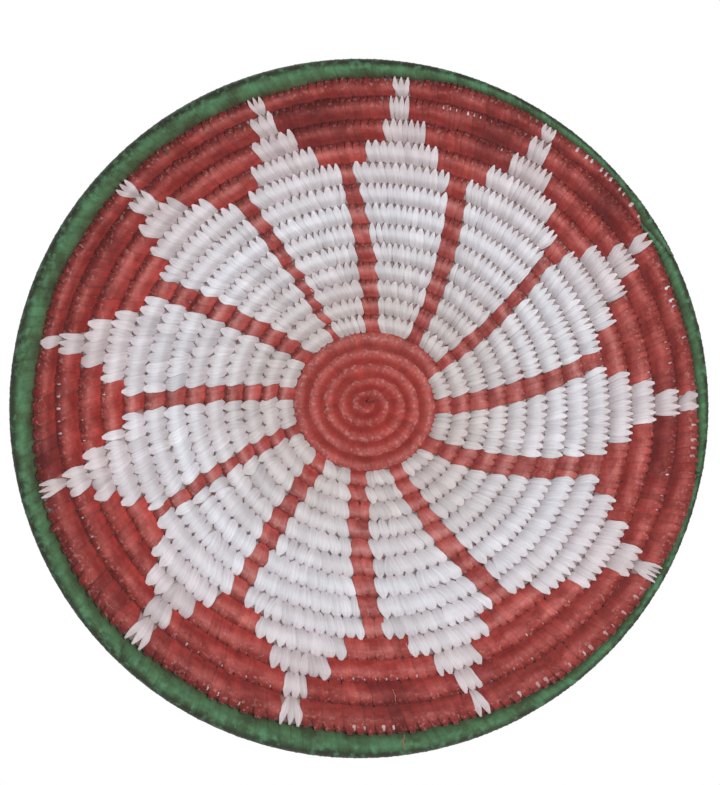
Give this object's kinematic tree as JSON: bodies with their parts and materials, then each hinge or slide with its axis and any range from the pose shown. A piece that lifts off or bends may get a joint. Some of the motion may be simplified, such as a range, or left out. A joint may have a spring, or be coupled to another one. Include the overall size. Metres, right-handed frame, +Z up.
{
  "type": "woven wall plate",
  "caption": "Round coiled basket plate with a shallow dished front, white petals bound over a red coil and a green bound rim.",
  "frame": {"origin": "centre of the coil on the plane of the wall that the back rests on", "axes": "+Z up as the plate hangs, +Y out of the back into the wall, +X to the right as seen from the front"},
  "size_m": [0.2996, 0.0377, 0.2996],
  "materials": {
    "red_fibre": "matt dyed plant fibre, bound in close stitches",
    "white_fibre": "matt bleached plant fibre, bound in close stitches",
    "green_fibre": "matt dyed plant fibre, bound in close stitches"
  },
  "bodies": {
    "root": {"red_bound_coil": "red_fibre", "white_petal_01": "white_fibre", "white_petal_02": "white_fibre", "white_petal_03": "white_fibre", "white_petal_04": "white_fibre", "white_petal_05": "white_fibre", "white_petal_06": "white_fibre", "white_petal_07": "white_fibre", "white_petal_08": "white_fibre", "white_petal_09": "white_fibre", "white_petal_10": "white_fibre", "white_petal_11": "white_fibre", "white_petal_12": "white_fibre", "green_rim_binding": "green_fibre"}
  },
  "joints": []
}
